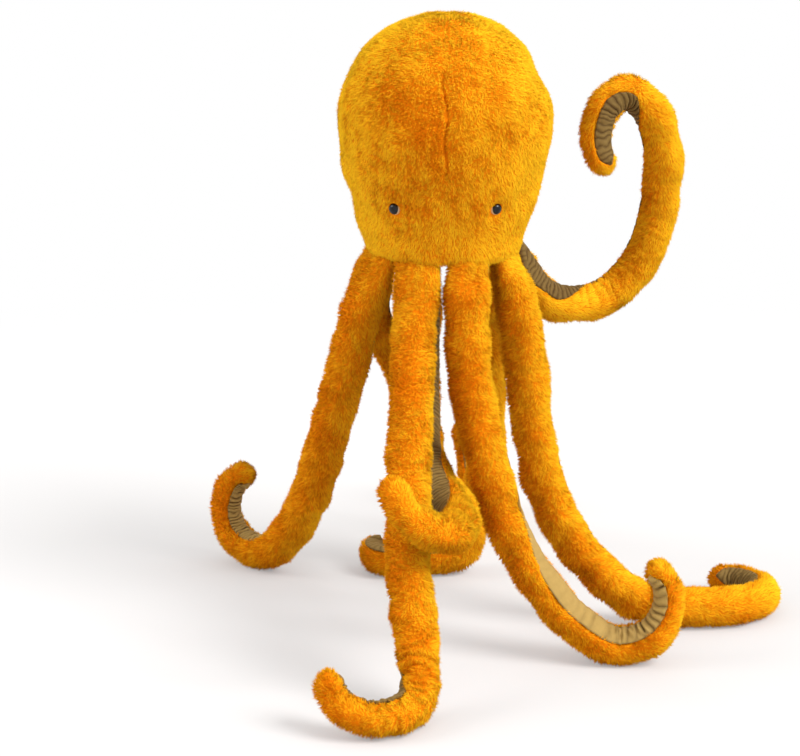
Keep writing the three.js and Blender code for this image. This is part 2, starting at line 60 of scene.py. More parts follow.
# The head and the arms, as in the part's source
HEAD_RADIUS = 108.5
HEAD_HEIGHT = 235.0
HEAD_SIDES = 16
HEAD_OUTLINE = [
    (0, 0.73), (0.08, 0.765), (0.17, 0.82), (0.26, 0.88), (0.36, 0.945), (0.47, 0.987),
    (0.57, 0.993), (0.67, 0.955), (0.77, 0.862), (0.86, 0.73), (0.93, 0.56), (0.98, 0.33), (1, 0),
]
ARM_LENGTH = 548.0
ARM_RADIUS = 22.0
TIP_RADIUS = 15.0
TIP_TAPER = 210.0
TIP_ROUND = 17.0
ROOT_RING = 68.0
STANDING_SHARE = 0.66
REST_HEIGHT = ARM_RADIUS * 0.92 - 0.5
ROOT_HEIGHT = REST_HEIGHT + ARM_LENGTH * STANDING_SHARE
RIM_HEIGHT = ROOT_HEIGHT + 5.0
EYE_HEIGHT = 52.0
EYE_SPACING = 100.0
EYE_RADIUS = 6.0

# Name, angle round the head, drop to the floor, joint share, facing share, facing, twists, and the
# route that follows the root, in shares of the arm's length
ARMS = [
    ("front_left_arm", -22.5, 0.083, 0.56, 0.85, (-0.4, 0.5, 0.8),
     [(0.6, 0.33), (0.86, 0)], [
        (-0.006, -0.028, 0.58), (-0.012, -0.115, 0.435),
        (-0.018, -0.235, 0.285), (-0.013, -0.335, 0.145), (-0.001, -0.402, 0.055),
        (-0.008, -0.456, 0.005), (-0.046, -0.503, 0), (-0.095, -0.518, 0.005),
        (-0.138, -0.504, 0.03), (-0.158, -0.488, 0.078)]),
    ("front_right_arm", 22.5, 2.821, 0.52, 0.8, (0, 0, 1),
     [(0.3, -0.2), (0.64, 0.064), (0.8, 0.058), (0.95, 0.115)], [
        (-0.008, -0.022, 0.58), (-0.002, -0.047, 0.47),
        (0.023, -0.085, 0.35), (0.067, -0.125, 0.215), (0.13, -0.153, 0.105),
        (0.205, -0.168, 0.03), (0.265, -0.173, 0.003), (0.318, -0.177, 0.02),
        (0.348, -0.179, 0.072), (0.344, -0.179, 0.125), (0.316, -0.179, 0.163)]),
    ("right_arm", 67.5, -1.572, 0.52, 0.85, (0, 1, 0.1),
     [(0, 0), (0.45, 0.05), (0.65, 0.06), (0.8, 0.03)], [
        (0.018, -0.006, 0.575), (0.037, -0.013, 0.46),
        (0.051, -0.02, 0.34), (0.074, -0.028, 0.235), (0.118, -0.037, 0.14),
        (0.185, -0.046, 0.06), (0.265, -0.052, 0.008), (0.345, -0.05, 0),
        (0.424, -0.038, -0.001), (0.483, 0.004, -0.002), (0.49, 0.066, -0.004),
        (0.457, 0.115, -0.006), (0.4, 0.128, -0.008)]),
    ("raised_arm", 112.5, 0, 0.5, 0.5, (-1, 0, 0),
     [(0.05, 0.22), (0.15, 0.146), (0.27, -0.05), (0.36, -0.12), (0.6, -0.1), (0.7, -0.06),
      (0.86, 0.312), (0.95, 0.345)], [
        (0.033, 0.028, 0.6), (0.08, 0.068, 0.547), (0.14, 0.105, 0.525),
        (0.202, 0.13, 0.538), (0.254, 0.143, 0.583), (0.286, 0.143, 0.652), (0.299, 0.13, 0.735),
        (0.298, 0.107, 0.82), (0.272, 0.083, 0.895), (0.225, 0.06, 0.935), (0.183, 0.04, 0.915),
        (0.168, 0.025, 0.867), (0.175, 0.016, 0.822), (0.193, 0.012, 0.79)]),
    ("rear_right_arm", 157.5, 0.390, 0.54, 0.85, (0, -0.6, 0.8),
     [(0, 0)], [
        (0.018, 0.03, 0.575), (0.034, 0.085, 0.435),
        (0.042, 0.165, 0.285), (0.046, 0.255, 0.145), (0.048, 0.325, 0.05), (0.046, 0.39, 0.003),
        (0.04, 0.445, 0.01), (0.03, 0.486, 0.05), (0.02, 0.49, 0.105), (0.012, 0.46, 0.145),
        (0.01, 0.42, 0.15)]),
    ("hooked_arm", -157.5, 0, 0.76, 0.85, (-1, 0, 0),
     [(0.35, -0.39), (0.58, -0.22), (0.78, 0)], [
        (0.005, -0.016, 0.585), (0.006, -0.058, 0.49),
        (0.005, -0.108, 0.4), (0.006, -0.178, 0.33), (0.018, -0.275, 0.285),
        (0.047, -0.38, 0.258), (0.069, -0.485, 0.252), (0.044, -0.576, 0.266),
        (-0.004, -0.61, 0.297), (-0.038, -0.598, 0.334), (-0.045, -0.57, 0.366)]),
    ("rear_left_arm", -112.5, -0.441, 0.42, 0.75, (-1, 0, 0),
     [(0.3, 0.42), (0.55, 0), (0.75, -0.1), (0.98, 0)], [
        (-0.018, 0.018, 0.575), (-0.012, 0.068, 0.497),
        (0.03, 0.122, 0.42), (0.053, 0.145, 0.34), (0.06, 0.155, 0.24), (0.092, 0.155, 0.165),
        (0.14, 0.155, 0.11), (0.168, 0.155, 0.055), (0.155, 0.155, 0.01), (0.11, 0.15, 0),
        (0.06, 0.14, -0.002), (0.02, 0.135, -0.003), (-0.012, 0.15, -0.003),
        (-0.02, 0.19, -0.003), (0, 0.225, -0.003)]),
    ("left_arm", -67.5, 1.711, 0.52, 0.85, (0.6, -0.4, 0.7),
     [(0.45, 0.28), (0.8, 0)], [
        (-0.028, 0, 0.58), (-0.056, 0.014, 0.47), (-0.086, 0.055, 0.35),
        (-0.118, 0.12, 0.225), (-0.157, 0.19, 0.11), (-0.205, 0.245, 0.028),
        (-0.258, 0.29, 0.003), (-0.3, 0.322, 0.028), (-0.312, 0.335, 0.085),
        (-0.292, 0.332, 0.135), (-0.255, 0.318, 0.155)]),
]

# The pile: how deep the skin lies under the part's surface, its strands, how much flatter and paler
# the pile is made on surfaces facing right and up, the paleness being painted light from that side,
# and the height above the floor that everything keeps
PILE_DEPTH = 2.6
STRAND_LENGTH = 4.7
STRAND_WIDTH = 0.6
STRAND_SPACING = 1.2
STRAND_SUNK = 0.9
GUARD_SHARE = 0.06
GUARD_LENGTH = 1.35
TUFT_SIZE = 3.7
FLAT_AND_LIT_FACING = np.array([0.32, 0.0, 0.08])
GROUND = 0.3

# The velvet: how far round the arm it reaches from its middle line, the length of its point, its
# crown and the pitch of its gathers
STRIP_ANGLE = math.radians(47)
STRIP_TAPER = 15.0
STRIP_CROWN = 4.0
GATHER_PITCH = 5.4
WIDE_GATHERS = {"front_right_arm": 12.0, "raised_arm": 6.6}

# What some arms have of their own: velvet gathered at least so far along all of its length, velvet
# painted darker all over as shade, fur brushed flatter, fur brushed downwards where the arm rises,
# and soft rolls round a stretch of the fur, with painted light on their crests and painted shade in
# their creases
GATHERED = {"raised_arm": 0.75, "right_arm": 0.6, "hooked_arm": 0.85, "rear_left_arm": 0.6}
PAINTED_SHADE_VELVET = {"raised_arm": 0.36, "right_arm": 0.5, "hooked_arm": 0.55, "rear_left_arm": 0.6,
                "front_left_arm": 0.5}
SMOOTHED = {"raised_arm": 0.34}
BRUSHED_BACK = {"raised_arm": 1.0}
ROLLED = {"front_left_arm": (0.66, 0.72, 0.84, 0.9, 3.4)}
ROLL_PITCH = 13.0

# An arm's skin: the steps of its line and of its rings, its oval root, the depth of the pinches
# inside its bends, how softly the velvet's side is pressed flat, and the rings that close its tip
SPAN_STEPS = 40
LINE_STEPS = 600
SKIN_STEP = 3.2
SKIN_SIDES = 32
ROOT_DEPTH = 9.0
ROOT_BREADTH = 22.5
PINCH = 1.7
PRESS_EASE = 1.2
TIP_SHARE = 0.92
TIP_ROWS = 14
STRIP_STEP = 0.62
STRIP_POINTS = 13

# Where an arm's pieces start and part
ROOT_START = -7.0
ROOT_SPLIT = 62.0

# The share of a piece's map that its skin takes
SKIN_PART = 0.2

base_low, base_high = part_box("base_panel")
AXIS = np.array([(base_low.x + base_high.x) / 2 / MM, (base_low.y + base_high.y) / 2 / MM, 0])


# Small sums on arrays


def unit(vectors):
    """Each vector over its own length."""
    return vectors / np.maximum(np.linalg.norm(vectors, axis=-1, keepdims=True), 1e-9)


def mix(low, high, share):
    """The first value moved to the second by a share."""
    return low + (high - low) * share


def smooth(value, low, high):
    """0 below low and 1 above high, with the S curve 3t^2 - 2t^3 between."""
    t = np.clip((value - low) / (high - low), 0, 1)
    return t * t * (3 - 2 * t)


def swell(points, wavelength, seed, waves=10):
    """A smooth random field of spread 1: the sum of plane waves in scattered directions, with
    wavelengths about the given one."""
    draw = np.random.default_rng(seed)
    ways = unit(draw.normal(size=(3, waves)).T).T
    pitch = wavelength * draw.uniform(0.7, 1.5, waves)
    phase = draw.uniform(0, 2 * np.pi, waves)
    return np.sin(points @ (ways * 2 * np.pi / pitch) + phase).sum(1) * math.sqrt(2 / waves)


def scattered(cells, seed):
    """Three even random numbers for each whole-number cell, from the fractions of large sines."""
    turn = np.array([[127.1, 269.5, 113.5], [311.7, 183.3, 271.9], [74.7, 246.1, 124.6]])
    return np.modf(np.abs(np.sin(cells @ turn + seed)) * 43758.5453)[0]


def nearest_tuft(points, size, seed):
    """The way to the nearest tuft's middle, one of which lies anywhere in each cube of the given
    size, and that tuft's own random number."""
    home = np.floor(points / size)
    way = np.zeros_like(points)
    best = np.full(len(points), np.inf)
    mark = np.zeros(len(points))
    for shift in np.ndindex(3, 3, 3):
        cell = home + np.array(shift) - 1
        spot = scattered(cell, seed)
        offset = (cell + spot) * size - points
        far = (offset**2).sum(1)
        closer = far < best
        best = np.where(closer, far, best)
        way = np.where(closer[:, None], offset, way)
        mark = np.where(closer, spot[:, 0], mark)
    return way, mark


def outward(turn):
    """The level way out at a turn about the upright, 0 in front."""
    return np.stack([np.sin(turn), -np.cos(turn), 0 * turn], -1)


def beside(ways, normal):
    """What is left of each way when its part along the normal is taken off."""
    return ways - normal * (ways * normal).sum(-1, keepdims=True)


def surface_normals(left, right, behind, ahead, at_point):
    """A surface's normals, from the cross of its two slopes, or the given way where the surface
    closes to a point."""
    across = right - left
    closed = (np.linalg.norm(across, axis=-1) < 0.02)[..., None]
    return unit(np.where(closed, at_point, np.cross(across, ahead - behind)))


def read_off(places, table, wanted):
    """The table's rows at the wanted places, straight between the rows that it has."""
    return np.stack([np.interp(wanted, places, column) for column in table.T], -1)


def grid_cells(rows, columns):
    """The row and the column of each cell of a grid."""
    return (g.ravel() for g in np.meshgrid(np.arange(rows), np.arange(columns), indexing="ij"))


def route_curve(points, steps=SPAN_STEPS):
    """A centripetal curve through the points: in each span a cubic whose end slopes weigh the
    neighbours by the square roots of their distances."""
    p = np.vstack([2 * points[0] - points[1], points, 2 * points[-1] - points[-2]])
    a, b, c, d = p[:-3], p[1:-2], p[2:-1], p[3:]
    d0, d1, d2 = (np.sqrt(np.linalg.norm(n - m, axis=1))[:, None] for m, n in
                  ((a, b), (b, c), (c, d)))
    out = ((b - a) / d0 - (c - a) / (d0 + d1) + (c - b) / d1) * d1
    into = ((c - b) / d1 - (d - b) / (d1 + d2) + (d - c) / d2) * d1
    t = np.linspace(0, 1, steps, endpoint=False)[None, :, None]
    b, c, out, into = (x[:, None, :] for x in (b, c, out, into))
    rows = (b * (2 * t**3 - 3 * t**2 + 1) + out * (t**3 - 2 * t**2 + t)
            + c * (3 * t**2 - 2 * t**3) + into * (t**3 - t**2))
    return np.vstack([rows.reshape(-1, points.shape[1]), points[-1:]])


def evenly(points, count):
    """The same line in even steps of its own length, and the lengths."""
    lengths = np.concatenate([[0], np.cumsum(np.linalg.norm(np.diff(points, axis=0), axis=1))])
    wanted = np.linspace(0, lengths[-1], count)
    return read_off(lengths, points, wanted), wanted


# Meshes from arrays


def grid_faces(rows, ring):
    """Two triangles for each cell between closed rings of points, and strips across the end
    rings, all looking outwards."""
    r, k = np.meshgrid(np.arange(rows - 1), np.arange(ring), indexing="ij")
    a, b = r * ring + k, r * ring + (k + 1) % ring
    walls = np.stack([a, b, b + ring, a, b + ring, a + ring], -1).reshape(-1, 3)
    k = np.arange(ring // 2 - 1)
    p, q, m, n = k, k + 1, ring - 2 - k, ring - 1 - k
    start = np.stack([p, n, m, p, m, q], -1).reshape(-1, 3)
    end = np.stack([p, m, n, p, q, m], -1).reshape(-1, 3) + (rows - 1) * ring
    return np.vstack([walls, start, end])


def add_piece(name, points, faces, material, corners=None, marks=None, normals=None):
    """A mesh object from arrays: points in millimetres, faces as point numbers, a UV pair for each
    face corner, and for the points named numbers and shading normals."""
    mesh = bpy.data.meshes.new(name)
    mesh.vertices.add(len(points))
    mesh.vertices.foreach_set("co", (points * MM).astype(np.float32).ravel())
    mesh.loops.add(faces.size)
    mesh.polygons.add(len(faces))
    mesh.polygons.foreach_set("loop_start", np.arange(0, faces.size, faces.shape[1]))
    mesh.loops.foreach_set("vertex_index", faces.ravel().astype(np.int32))
    mesh.polygons.foreach_set("use_smooth", np.ones(len(faces), bool))
    mesh.update(calc_edges=True)
    if corners is not None:
        layer = mesh.uv_layers.new(name="OFBake")
        layer.data.foreach_set("uv", corners.astype(np.float32).ravel())
    for title, values in (marks or {}).items():
        attribute = mesh.attributes.new(title, "FLOAT", "POINT")
        attribute.data.foreach_set("value", values.astype(np.float32))
    if normals is not None:
        mesh.normals_split_custom_set_from_vertices(normals.astype(np.float32))
    mesh.materials.append(material)
    piece = bpy.data.objects.new(name, mesh)
    bpy.context.scene.collection.objects.link(piece)
    return piece


def grid_places(faces, ring):
    """Each face corner's row and its place round the ring, counted on where a face closes it."""
    row, place = np.divmod(faces, ring)
    closes = (place.max(1) - place.min(1) > ring / 2)[:, None] & (place == 0)
    return row, place + closes * ring


def spread_skin(rows, ring, faces):
    """Each corner's place in the skin's own part of the map: along the piece upwards, round it
    across."""
    row, place = grid_places(faces, ring)
    return np.stack([1 - SKIN_PART + SKIN_PART * (0.02 + 0.96 * place / ring),
                     0.01 + 0.98 * row / (rows - 1)], -1)


def spread_strands(count):
    """Each strand's own cell of the map, in the order that the strands are given: its sides share
    one triangle, foot down."""
    across = int(math.ceil(math.sqrt(count * (1 - SKIN_PART)))) + 1
    up = int(math.ceil(count / across))
    order = np.arange(count)
    left, low = order % across, order // across
    foot = np.array([[0.08, 0.06], [0.92, 0.06], [0.5, 0.94]])
    sides = np.stack([foot, foot, foot, foot * [1, 0] + [0, 0.06]])
    cells = np.stack([left, low], -1)[:, None, None, :] + sides[None]
    return (cells / [across / (1 - SKIN_PART), up]).reshape(-1, 3, 2)


# A spike's corners 0, 1 and 2 run clockwise round the way it lies, and 3 is its end
SPIKE_FACES = np.array([[3, 1, 0], [3, 2, 1], [3, 0, 2], [1, 2, 0]])


def strands(foot, normal, lie, full, draw):
    """A closed spike for each foot point: three corners round the foot, square to the way it
    lies, and its end. The lengths are uneven about the full one, with a few guard strands among
    them, and the shading normals stay near the skin's."""
    count = len(foot)
    guard = draw.uniform(size=count) < GUARD_SHARE
    length = full * draw.uniform(0.78, 1.12, count) * np.where(guard, GUARD_LENGTH, 1.0)
    width = STRAND_WIDTH * draw.uniform(0.8, 1.2, count)
    side = unit(np.cross(lie, normal + 0.3 * draw.normal(size=(count, 3))))
    over = np.cross(lie, side)
    roll = draw.uniform(0, 2 * np.pi, count)
    turn = (roll[:, None] - np.arange(3) * 2 * np.pi / 3)[..., None]
    way = side[:, None] * np.cos(turn) + over[:, None] * np.sin(turn)
    corners = (foot - normal * STRAND_SUNK)[:, None] + way * width[:, None, None]
    end = foot + lie * length[:, None]
    tilt = draw.normal(size=(count, 3)) * 0.16
    shading = unit(np.concatenate([normal[:, None] + 0.45 * way,
                                   (normal + tilt + 0.1 * lie)[:, None]], 1))
    points = np.concatenate([corners, end[:, None]], 1)
    points[..., 2] = np.maximum(points[..., 2], GROUND)
    faces = np.arange(0, 4 * count, 4)[:, None, None] + SPIKE_FACES
    return points.reshape(-1, 3), faces.reshape(-1, 3), shading.reshape(-1, 3)


def furred(name, skin, rings, planted, material):
    """One piece of fur: a closed skin of rings, as points and normals, with its planted strands,
    as points, faces, normals and marks."""
    rows, ring = rings
    faces = grid_faces(rows, ring)
    points, normals = skin
    hairs, hair_faces, hair_normals, laid, shade = planted
    count = len(laid)
    marks = {
        "pile": np.concatenate([np.zeros(len(points)), np.tile([0, 0, 0, 1], count)]),
        "laid": np.concatenate([np.full(len(points), 0.4), np.repeat(laid, 4)]),
        "shade": np.concatenate([np.full(len(points), 0.5), np.repeat(shade, 4)]),
    }
    corners = np.vstack([
        spread_skin(rows, ring, faces).reshape(-1, 2),
        spread_strands(count).reshape(-1, 2),
    ])
    return add_piece(
        name, np.vstack([points, hairs]), np.vstack([faces, hair_faces + len(points)]), material,
        corners, marks, np.vstack([normals, hair_normals]),
    )


def combed(foot, normal, nap, laid, seed, draw):
    """How each strand lies, and how light it is. Where the pile is laid flat the strands follow
    the nap closely. Where it stands up they lean in swirls and to the middles of their tufts, and
    are lighter there and in some tufts. The lighter middles are painted light, with painted shade
    at the tufts' edges; the lighter tufts are a random tone."""
    loose = 1 - laid
    lean = np.radians(mix(22, 62, laid) + 10 * draw.normal(size=len(foot)))[:, None]
    swirl = 0.5 * swell(foot, 38, seed + 2) + 0.6 * swell(foot, 8, seed + 3)
    swirl = swirl * mix(0.35, 1.4, loose) + mix(0.2, 0.75, loose) * draw.normal(size=len(foot))
    nap = unit(beside(nap, normal))
    across = np.cross(normal, nap)
    flat = nap * np.cos(swirl)[:, None] + across * np.sin(swirl)[:, None]
    lie = normal * np.cos(lean) + flat * np.sin(lean)
    way, mark = nearest_tuft(foot, TUFT_SIZE, seed)
    way = beside(way, normal)
    lie = lie * STRAND_LENGTH + way * mix(0.2, 1.4, loose)[:, None]
    # Painted shade between tufts: strands are darker towards a tuft's edge
    middle = np.clip(1 - (way**2).sum(1) / (0.6 * TUFT_SIZE) ** 2, 0, 1)
    shade = 0.3 * draw.uniform(size=len(foot)) + 0.3 * mark + 0.5 * middle - 0.55
    return unit(lie), np.clip(0.5 + shade * mix(0.2, 2.6, loose), 0, 1)


# Materials


def colour(red, green, blue):
    """A colour of 0 to 255 as the screen shows it, as linear light."""
    shown = np.array([red, green, blue]) / 255
    linear = np.where(shown <= 0.04045, shown / 12.92, ((shown + 0.055) / 1.055) ** 2.4)
    return (*linear, 1.0)


def node(tree, kind, inputs=(), **settings):
    """A node with its settings, and its inputs given as values or as other nodes' outputs."""
    made = tree.nodes.new(kind)
    for key, value in settings.items():
        setattr(made, key, value)
    for key, value in dict(inputs).items():
        if isinstance(value, bpy.types.NodeSocket):
            tree.links.new(value, made.inputs[key])
        else:
            made.inputs[key].default_value = value
    return made


def new_material(name, plain):
    """A material with one Principled shader, whose plain numbers are set on its own sockets."""
    material = bpy.data.materials.new(name)
    material.use_nodes = True
    tree = material.node_tree
    tree.nodes.clear()
    shader = node(tree, "ShaderNodeBsdfPrincipled", plain)
    node(tree, "ShaderNodeOutputMaterial", {0: shader.outputs[0]})
    return material, tree, shader


def colour_mix(tree, share, low, high):
    """The colour between two, by a share."""
    return node(tree, "ShaderNodeMix", {0: share, 6: low, 7: high}, data_type="RGBA").outputs[2]


def worked(tree, operation, *values):
    """The result of one sum on numbers."""
    return node(tree, "ShaderNodeMath", enumerate(values), operation=operation).outputs[0]


def noise(tree, scale, detail=2.0):
    """Smooth noise on the piece's own coordinates."""
    place = node(tree, "ShaderNodeTexCoord").outputs["Object"]
    return node(tree, "ShaderNodeTexNoise",
                {"Vector": place, "Scale": scale, "Detail": detail}).outputs[0]


def grained(tree, shader, scale, strength, distance):
    """A fine grain on a shader: noise as a bump."""
    bump = node(tree, "ShaderNodeBump", {"Strength": strength, "Distance": distance,
                                         "Height": noise(tree, scale)})
    tree.links.new(bump.outputs[0], shader.inputs["Normal"])


def dye_group():
    """Cloth dye that took unevenly: slow and fine noise on Object coordinates between a dark and
    a light colour."""
    group = bpy.data.node_groups.new("uneven_dye", "ShaderNodeTree")
    for title in ("Dark", "Light", "Share", "Slow", "Fine", "Amount"):
        kind = "Color" if title in ("Dark", "Light") else "Float"
        group.interface.new_socket(title, in_out="INPUT", socket_type=f"NodeSocket{kind}")
    group.interface.new_socket("Color", in_out="OUTPUT", socket_type="NodeSocketColor")
    given = group.nodes.new("NodeGroupInput").outputs
    both = worked(group, "ADD", noise(group, given["Slow"], 3.0), noise(group, given["Fine"]))
    uneven = worked(group, "SUBTRACT", both, 1.0)
    share = worked(group, "MULTIPLY_ADD", uneven, given["Amount"], given["Share"])
    share = node(group, "ShaderNodeClamp", {"Value": share}).outputs[0]
    node(group, "NodeGroupOutput", {0: colour_mix(group, share, given["Dark"], given["Light"])})
    return group


uneven_dye = dye_group()


def dyed(tree, dark, light, share, slow, fine, amount):
    """The uneven dye between two colours, in a material of its own values."""
    values = {"Dark": dark, "Light": light, "Share": share, "Slow": slow, "Fine": fine,
              "Amount": amount}
    return node(tree, "ShaderNodeGroup", values, node_tree=uneven_dye).outputs[0]


def attribute(tree, title):
    """A point's own number."""
    return node(tree, "ShaderNodeAttribute", attribute_name=title).outputs["Fac"]


def fur_material():
    """Golden pile: burnt orange at the foot and where it stands up, golden where it lies down,
    with each strand a little lighter or darker. The darker foot is painted shade deep in the pile,
    the paler golden where it lies down is painted sheen, and the strands' lighter and darker marks
    are partly random tone and partly painted light and shade."""
    material, tree, shader = new_material("golden_fur", {
        "Roughness": 0.85, "Specular IOR Level": 0.04, "Sheen Weight": 0.3,
        "Sheen Roughness": 0.45, "Sheen Tint": colour(255, 172, 24)})
    pile, laid, shade = (attribute(tree, title) for title in ("pile", "laid", "shade"))
    share = worked(tree, "MULTIPLY_ADD", worked(tree, "SUBTRACT", shade, 0.5), 0.7, laid)
    # Painted sheen and shade: the ends are paler golden where the pile lies down, and the feet
    # below are darker, as shade deep in the pile
    ends = dyed(tree, colour(227, 130, 0), colour(254, 205, 34), share, 9.0, 45.0, 0.25)
    roots = dyed(tree, colour(200, 90, 0), colour(242, 148, 10), laid, 9.0, 45.0, 0.25)
    body = colour_mix(tree, worked(tree, "POWER", pile, 0.8), roots, ends)
    lift = worked(tree, "MULTIPLY_ADD", shade, 0.5, 0.74)
    shaded = node(tree, "ShaderNodeHueSaturation", {"Value": lift, "Color": body}).outputs[0]
    tree.links.new(shaded, shader.inputs["Base Color"])
    return material


def velvet_material():
    """Olive gold velvet, darker in its folds and lighter on their crests, with a soft nap: the
    darker folds and lighter crests are painted shade and light, as is the darker velvet of some
    arms.
    """
    material, tree, shader = new_material("olive_velvet", {
        "Roughness": 0.75, "Specular IOR Level": 0.1, "Sheen Weight": 0.2,
        "Sheen Roughness": 0.35, "Sheen Tint": colour(226, 190, 120)})
    fold = attribute(tree, "fold")
    body = dyed(tree, colour(54, 30, 6), colour(166, 136, 76), fold, 40.0, 300.0, 0.2)
    tree.links.new(body, shader.inputs["Base Color"])
    grained(tree, shader, 1800.0, 0.15, 0.0005)
    return material


def eye_material():
    """Painted glass: a black pupil, a dark grey iris, a champagne ring and a black edge, by the
    distance from the eye's middle, under a clear coat."""
    material, tree, shader = new_material("painted_glass", {
        "Roughness": 0.4, "Specular IOR Level": 0.02, "Coat Weight": 0.8,
        "Coat Roughness": 0.03, "Coat IOR": 1.4})
    bands = node(tree, "ShaderNodeValToRGB", {0: attribute(tree, "reach")})
    stops = [(0, (2, 2, 3)), (0.46, (3, 3, 5)), (0.54, (14, 17, 24)), (0.7, (12, 14, 20)),
             (0.76, (3, 3, 3)), (0.86, (30, 22, 14)), (0.93, (210, 186, 150)),
             (1.0, (190, 162, 120))]
    while len(bands.color_ramp.elements) < len(stops):
        bands.color_ramp.elements.new(1.0)
    for element, (place, shown) in zip(bands.color_ramp.elements, stops):
        element.position = place
        element.color = colour(*shown)
    tree.links.new(bands.outputs[0], shader.inputs["Base Color"])
    return material


def plain_material(name, dark, light, roughness, fine):
    """Moulded plastic or fibre with a faint unevenness and a fine grain."""
    material, tree, shader = new_material(name, {"Roughness": roughness})
    body = dyed(tree, colour(*dark), colour(*light), 0.5, 60.0, fine, 1.0)
    tree.links.new(body, shader.inputs["Base Color"])
    grained(tree, shader, fine * 4, 0.2, 0.0002)
    return material


golden_fur = fur_material()
olive_velvet = velvet_material()
painted_glass = eye_material()
wire_cover = plain_material("wire_cover", (214, 214, 210), (238, 238, 234), 0.5, 400.0)
washer_plastic = plain_material("washer_plastic", (206, 206, 202), (230, 230, 226), 0.45, 300.0)
stuffing_fibre = plain_material("stuffing_fibre", (228, 224, 214), (246, 243, 236), 0.95, 250.0)


# The arms


class Sleeve:
    """One arm: its middle line in even steps, with the way its velvet looks carried along."""

    def __init__(self, number, name, angle, drop, joint_share, facing_share, facing, twists,
                 route):
        self.seed = 100 + 20 * number
        self.name = name
        self.out = outward(math.radians(angle))
        shares = np.array([(0, 0, STANDING_SHARE), *route])
        across, back, up = (shares * ARM_LENGTH).T
        root = self.out * ROOT_RING + AXIS
        heights = REST_HEIGHT + up - drop * (1 - shares[:, 2] / STANDING_SHARE)
        line = route_curve(np.stack([root[0] + across, root[1] + back, heights], 1))
        self.middle, self.stations = evenly(line, LINE_STEPS + 1)
        self.length = self.stations[-1]
        self.joint = joint_share * self.length
        self.tangent = unit(np.gradient(self.middle, axis=0))
        carried = self.carried(facing, round(facing_share * LINE_STEPS))
        self.facing = self.twisted(carried, twists)
        self.bend = np.gradient(self.tangent, self.stations, axis=0)

    def carried(self, facing, start):
        """The facing at one step, carried both ways: each row is its neighbour's without its part
        along the line."""
        rows = np.zeros_like(self.tangent)
        rows[start] = facing
        for i in list(range(start, len(rows))) + list(range(start - 1, -1, -1)):
            if i != start:
                rows[i] = rows[i - 1 if i > start else i + 1]
            rows[i] -= self.tangent[i] * (rows[i] @ self.tangent[i])
            rows[i] /= np.linalg.norm(rows[i])
        return rows

    def twisted(self, rows, twists):
        """The facings turned about the line, by shares of a turn at shares of the length, eased
        from row to row of the table."""
        places, turns = np.array(twists, float).T
        row = np.interp(np.linspace(0, 1, len(rows)), places, np.arange(len(places)))
        low = np.floor(row).astype(int)
        high = np.minimum(low + 1, len(places) - 1)
        angle = 2 * np.pi * mix(turns[low], turns[high], smooth(row - low, 0, 1))[:, None]
        return rows * np.cos(angle) + np.cross(self.tangent, rows) * np.sin(angle)

    def at(self, table, station):
        """A table's row at any station."""
        return read_off(self.stations, table, station)

    def frame_at(self, station):
        """The middle, the way along, the velvet's way and the way to the side. Before the start
        and past the end the line runs on straight."""
        beyond = station - np.clip(station, 0, self.length)
        tangent = unit(self.at(self.tangent, station))
        middle = self.at(self.middle, station) + tangent * beyond[..., None]
        facing = unit(beside(self.at(self.facing, station), tangent))
        return middle, tangent, facing, np.cross(tangent, facing)

    def width(self, station):
        """The skin's radius: it narrows to the tip as a sine and ends in a quarter oval."""
        end = self.length - PILE_DEPTH
        left = np.clip(self.length - station, 0, None)
        bulge = np.sin(np.clip(left / TIP_TAPER, 0, 1) * np.pi / 2)
        full = mix(TIP_RADIUS, ARM_RADIUS, bulge) - PILE_DEPTH
        past = np.clip((station - (self.length - TIP_ROUND)) / (TIP_ROUND - PILE_DEPTH), 0, 1)
        return full * np.sqrt(1 - past**2) * (station <= end)

    def strip_angle(self, station):
        """How far round the velvet reaches: all of its angle, closing to a point at the tip."""
        left = np.clip((self.length - TIP_ROUND * 0.5 - station) / STRIP_TAPER, 0, 1)
        return STRIP_ANGLE * np.sin(left * np.pi / 2) ** 0.8

    def surface(self, station, angle):
        """A point of the skin: a circle about the line, pressed flat on the velvet's side, and at
        the root an oval that is wide along the head's rim and thin across it."""
        middle, _, facing, side = self.frame_at(station)
        way = facing * np.cos(angle)[..., None] + side * np.sin(angle)[..., None]
        full = self.width(station)
        along_out = (way * self.out).sum(-1)
        depth = mix(ROOT_DEPTH, full, smooth(station, -4, 42))
        breadth = mix(np.maximum(full, ROOT_BREADTH), full, smooth(station, 10, 70))
        radius = 1 / np.sqrt((along_out / np.maximum(depth, 0.01)) ** 2
                             + (1 - along_out**2) / np.maximum(breadth, 0.01) ** 2)
        spot = (middle + way * full[..., None]).reshape(-1, 3)
        lumps = 0.85 * swell(spot, 42, self.seed + 9) + 0.35 * swell(spot, 19, self.seed + 11)
        roll = self.roll(station, spot)
        inner = (self.at(self.bend, station) * way).sum(-1) * full
        pinch = PINCH * smooth(inner, -0.15, 0.3)
        pinch = np.maximum(pinch, self.rolled(station))
        lumps = lumps.reshape(radius.shape) + pinch * (roll - 0.75)
        radius = radius + lumps * smooth(full, 2, 14)
        edge = self.strip_angle(station)
        flat = radius * np.cos(edge) / np.maximum(np.cos(angle), 0.05)
        press = (radius - flat) / PRESS_EASE
        radius = radius - PRESS_EASE * np.logaddexp(0, press)
        return middle + way * np.maximum(radius, 0)[..., None]

    def roll(self, station, spot):
        """How high a point lies in its roll, from a crease to a crest."""
        wander = 0.7 * swell(spot, 30, self.seed + 10)
        return np.abs(np.sin(station * np.pi / ROLL_PITCH + wander.reshape(station.shape))) ** 0.7

